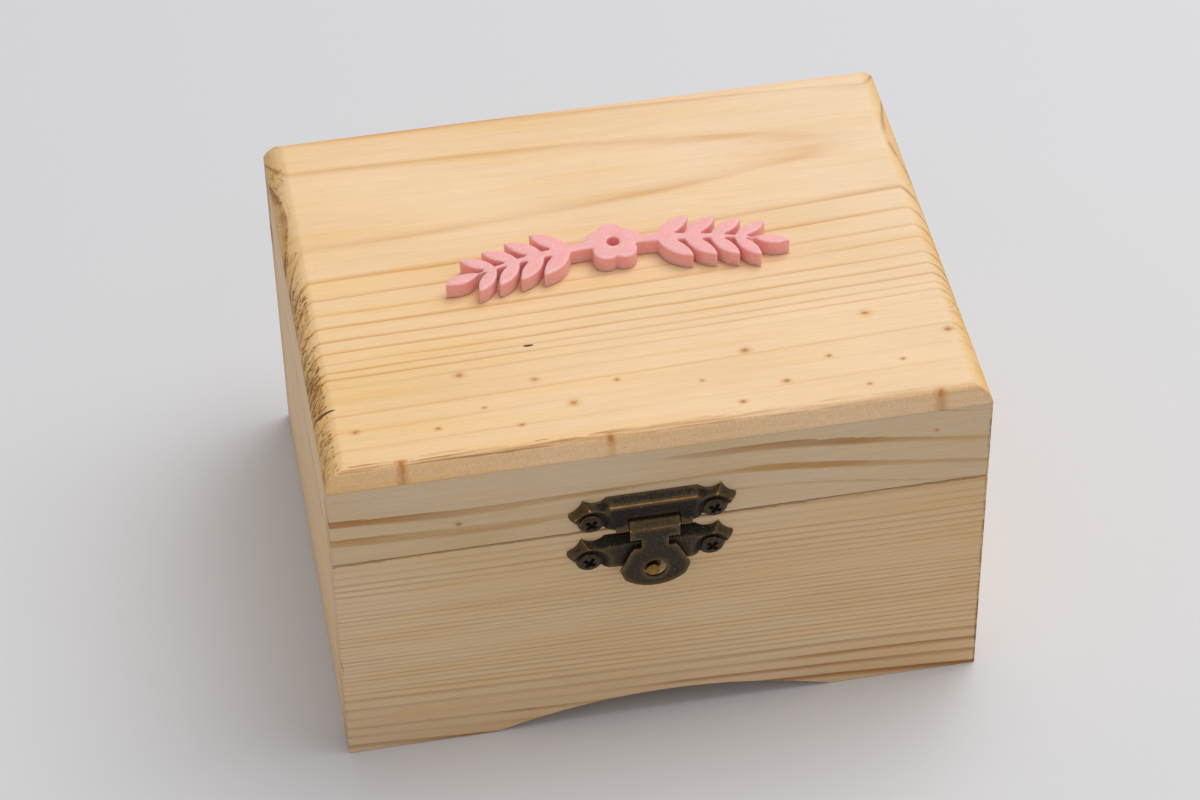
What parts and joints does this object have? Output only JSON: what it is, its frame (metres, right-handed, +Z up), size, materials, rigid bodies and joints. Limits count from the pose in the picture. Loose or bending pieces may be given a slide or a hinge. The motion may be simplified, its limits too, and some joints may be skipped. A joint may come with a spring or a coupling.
{
  "type": "wooden keepsake box",
  "caption": "Small pine keepsake box with a hinged lid, a stamped antique-brass hasp at the front, a foot arch and a raised pink sprig on the lid.",
  "frame": {"origin": "under the middle of the box, on the surface it stands on", "axes": "+X to the right seen from the front, +Y to the back, +Z up"},
  "size_m": [0.145, 0.1218, 0.0908],
  "materials": {
    "pine": "sanded bare pine, grain along each board",
    "plywood": "bare thin plywood",
    "antique_brass": "stamped sheet, dark antique finish worn to brass on its edges",
    "stud_brass": "turned brass, dull",
    "pink_resin": "cast pink resin with fine glitter"
  },
  "bodies": {
    "box": {"front_wall": "pine", "back_wall": "pine", "left_wall": "pine", "right_wall": "pine", "base_panel": "plywood", "hinge_left_box_leaf": "antique_brass", "hinge_left_pin": "antique_brass", "hinge_right_box_leaf": "antique_brass", "hinge_right_pin": "antique_brass", "hinge_box_screws": "antique_brass", "latch_catch_plate": "antique_brass", "latch_catch_screws": "antique_brass", "latch_catch_stud": "stud_brass"},
    "lid": {"lid_front_rail": "pine", "lid_back_rail": "pine", "lid_left_rail": "pine", "lid_right_rail": "pine", "lid_top_board": "pine", "hinge_left_lid_leaf": "antique_brass", "hinge_right_lid_leaf": "antique_brass", "lid_ornament": "pink_resin", "hinge_lid_screws": "antique_brass", "latch_lid_plate": "antique_brass", "latch_pin": "antique_brass", "latch_lid_screws": "antique_brass"},
    "latch_tongue": {"latch_tongue": "antique_brass"}
  },
  "joints": [
    {"name": "lid_hinge", "type": "hinge", "parent": "box", "child": "lid", "pos_m": [0, 0.0589, 0.06015], "axis": [-1, 0, 0], "range_deg": [0, 180]},
    {"name": "tongue_hinge", "type": "hinge", "parent": "lid", "child": "latch_tongue", "pos_m": [-0.0025, -0.0584, 0.062], "axis": [-1, 0, 0], "range_deg": [0, 120]}
  ]
}
